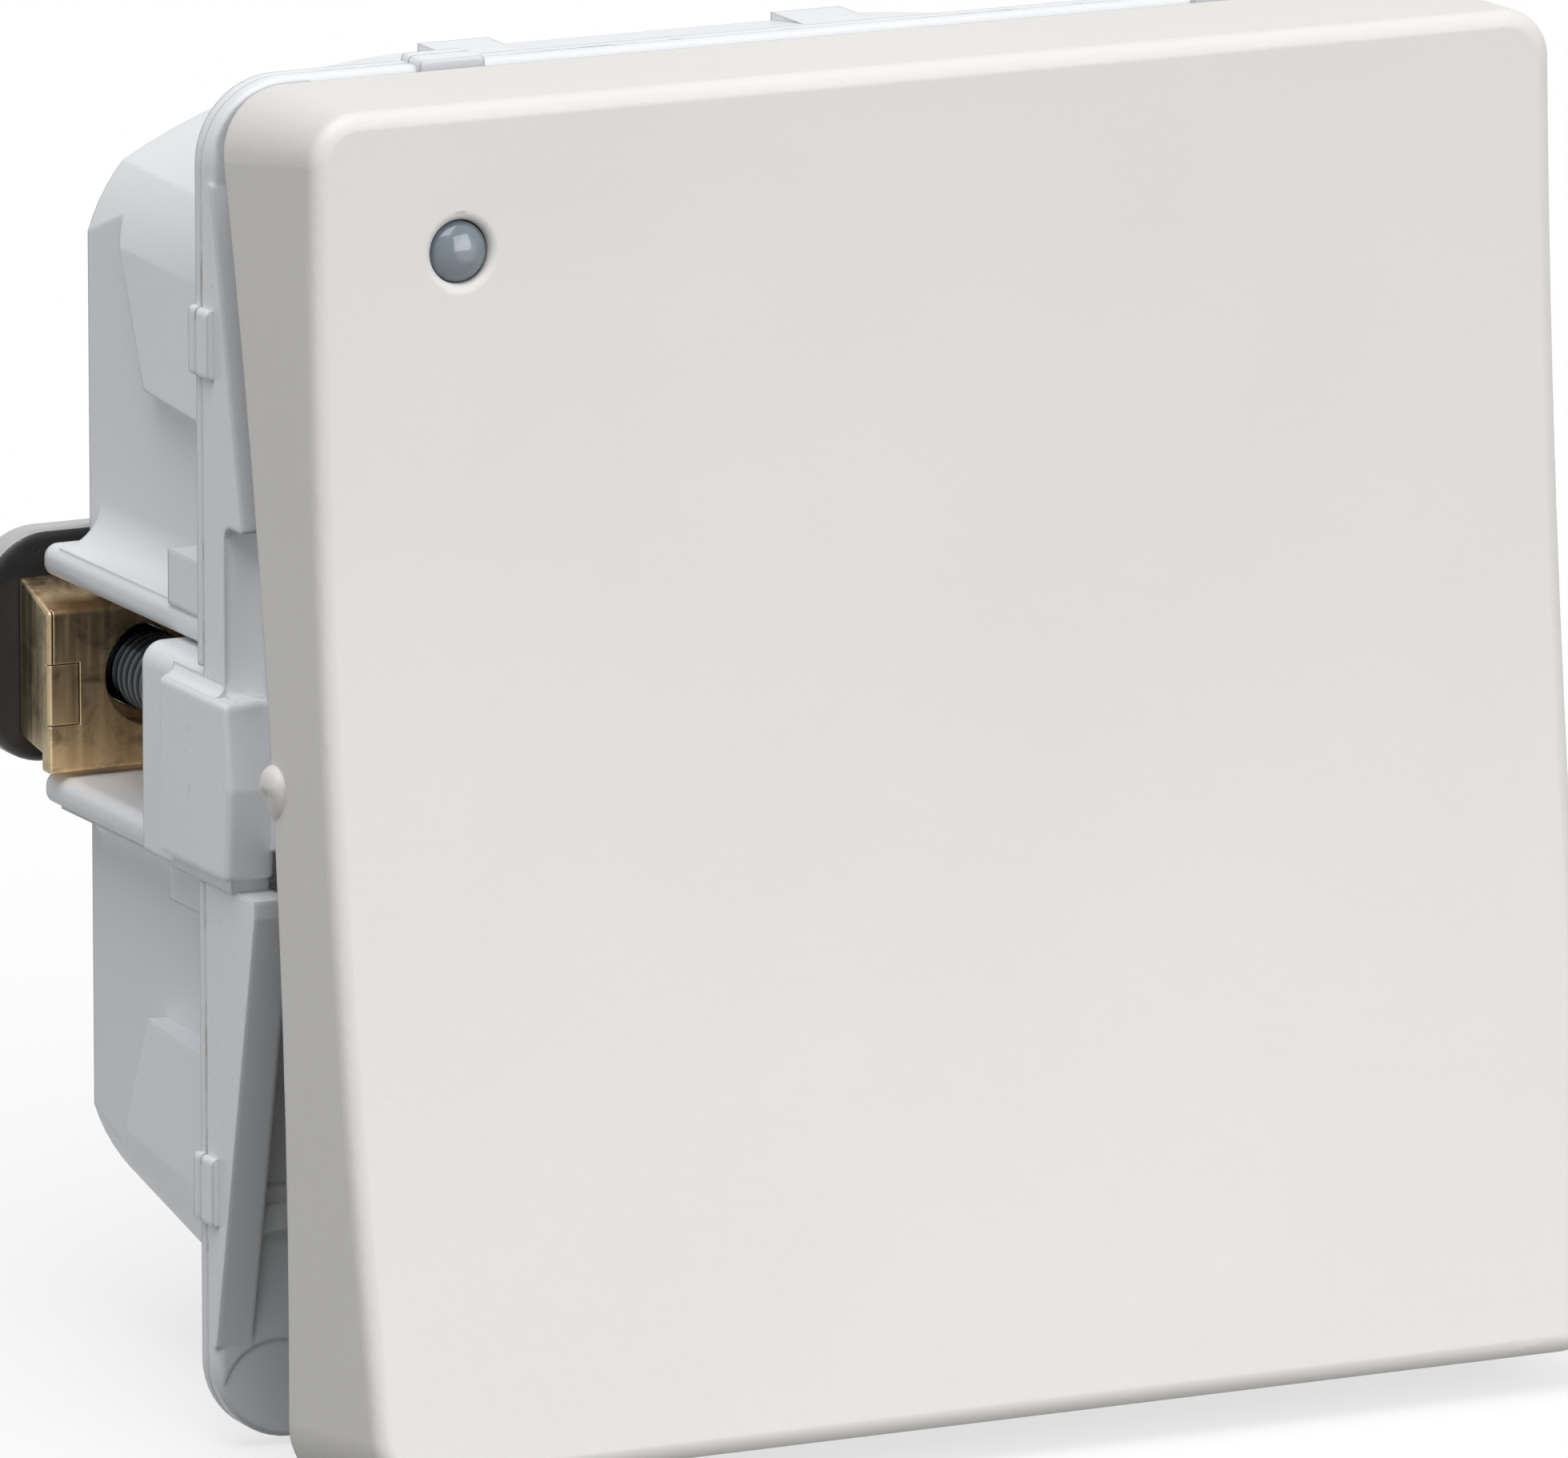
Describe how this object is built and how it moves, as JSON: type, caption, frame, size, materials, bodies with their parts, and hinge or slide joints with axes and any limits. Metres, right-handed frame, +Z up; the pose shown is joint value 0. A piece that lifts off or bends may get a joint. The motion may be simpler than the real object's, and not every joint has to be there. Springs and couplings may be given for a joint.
{
  "type": "two-way light switch",
  "caption": "Square one-module wall switch insert with a hollow-faced rocker, indicator lens, side claws and push-in terminals",
  "frame": {"origin": "middle of the flange's rear face, which lies against the wall frame", "axes": "+X to the right seen from the front, +Y into the wall, +Z up"},
  "size_m": [0.0506, 0.0352, 0.0496],
  "materials": {
    "rocker_white": "fine satin moulded white, slightly warm",
    "frame_white": "smooth moulded cool white",
    "housing_white": "smooth moulded cool white",
    "lens": "pale blue-grey translucent",
    "led_clear": "clear cast resin",
    "inner_plastic": "natural moulded plastic",
    "lever_grey": "mid grey moulded plastic",
    "board_green": "glass-fibre board",
    "resistor_body": "lacquered body",
    "claw_brass": "raw folded sheet, slightly tarnished",
    "contact_copper": "rolled copper alloy",
    "silver": "silver contact alloy",
    "screw_steel": "zinc-plated steel",
    "spring_steel": "stainless strip and wire",
    "claw_black": "black passivated steel, bright cut edge"
  },
  "bodies": {
    "base": {"base_frame": "frame_white", "rear_housing": "housing_white", "common_strip": "contact_copper", "traveller_strip_upper": "contact_copper", "traveller_strip_lower": "contact_copper", "neutral_strip": "contact_copper", "fixed_contact_tips": "silver", "indicator_led": "led_clear", "indicator_board": "board_green", "indicator_resistor": "resistor_body", "indicator_link": "contact_copper", "clamp_spring_common": "spring_steel", "clamp_spring_neutral": "spring_steel", "clamp_spring_traveller_upper": "spring_steel", "clamp_spring_traveller_lower": "spring_steel"},
    "rocker": {"rocker": "rocker_white", "indicator_lens": "lens"},
    "toggle": {"toggle": "inner_plastic", "snap_spring": "spring_steel"},
    "contact_lever": {"contact_lever": "contact_copper", "moving_contact_tips": "silver"},
    "claw_screw_left": {"claw_screw_left": "screw_steel"},
    "claw_left": {"claw_nut_left": "claw_brass", "claw_plate_left": "claw_black"},
    "claw_screw_right": {"claw_screw_right": "screw_steel"},
    "claw_right": {"claw_nut_right": "claw_brass", "claw_plate_right": "claw_black"},
    "release_lever_common": {"release_lever_common": "lever_grey"},
    "release_lever_neutral": {"release_lever_neutral": "lever_grey"},
    "release_lever_traveller_upper": {"release_lever_traveller_upper": "lever_grey"},
    "release_lever_traveller_lower": {"release_lever_traveller_lower": "lever_grey"}
  },
  "joints": [
    {"name": "rocker_hinge", "type": "hinge", "parent": "base", "child": "rocker", "pos_m": [0, -0.0073, 0.0002], "axis": [1, 0, 0], "range_deg": [0, 12.6], "deforming": ["snap_spring"]},
    {"name": "toggle_hinge", "type": "hinge", "parent": "base", "child": "toggle", "pos_m": [0, 0.0036, 0.0002], "axis": [1, 0, 0], "range_deg": [-25.2, 0]},
    {"name": "contact_hinge", "type": "hinge", "parent": "base", "child": "contact_lever", "pos_m": [0, 0.01122, 0.0002], "axis": [1, 0, 0], "range_deg": [-18, 0]},
    {"name": "claw_slide_left", "type": "slide", "parent": "base", "child": "claw_left", "axis": [0, -1, 0], "range_m": [-0.0011, 0.0011]},
    {"name": "claw_screw_left", "type": "hinge", "parent": "base", "child": "claw_screw_left", "pos_m": [-0.0197, 0.002, 0], "axis": [0, 1, 0], "range_deg": [-793, 793]},
    {"name": "claw_slide_right", "type": "slide", "parent": "base", "child": "claw_right", "axis": [0, -1, 0], "range_m": [-0.0011, 0.0011]},
    {"name": "claw_screw_right", "type": "hinge", "parent": "base", "child": "claw_screw_right", "pos_m": [0.0197, 0.002, 0], "axis": [0, 1, 0], "range_deg": [-793, 793]},
    {"name": "release_common", "type": "slide", "parent": "base", "child": "release_lever_common", "axis": [0, -1, 0], "range_m": [0, 0.0012], "stiffness_N_per_m": 400, "deforming": ["clamp_spring_common"]},
    {"name": "release_neutral", "type": "slide", "parent": "base", "child": "release_lever_neutral", "axis": [0, -1, 0], "range_m": [0, 0.0012], "stiffness_N_per_m": 400, "deforming": ["clamp_spring_neutral"]},
    {"name": "release_traveller_upper", "type": "slide", "parent": "base", "child": "release_lever_traveller_upper", "axis": [0, -1, 0], "range_m": [0, 0.0012], "stiffness_N_per_m": 400, "deforming": ["clamp_spring_traveller_upper"]},
    {"name": "release_traveller_lower", "type": "slide", "parent": "base", "child": "release_lever_traveller_lower", "axis": [0, -1, 0], "range_m": [0, 0.0012], "stiffness_N_per_m": 400, "deforming": ["clamp_spring_traveller_lower"]}
  ],
  "couplings": [
    {"joint": "toggle_hinge", "follows": "rocker_hinge", "ratio": -2},
    {"joint": "contact_hinge", "follows": "rocker_hinge", "ratio": -1.4286},
    {"joint": "claw_screw_left", "follows": "claw_slide_left", "rad_per_m": 12566},
    {"joint": "claw_screw_right", "follows": "claw_slide_right", "rad_per_m": 12566}
  ]
}
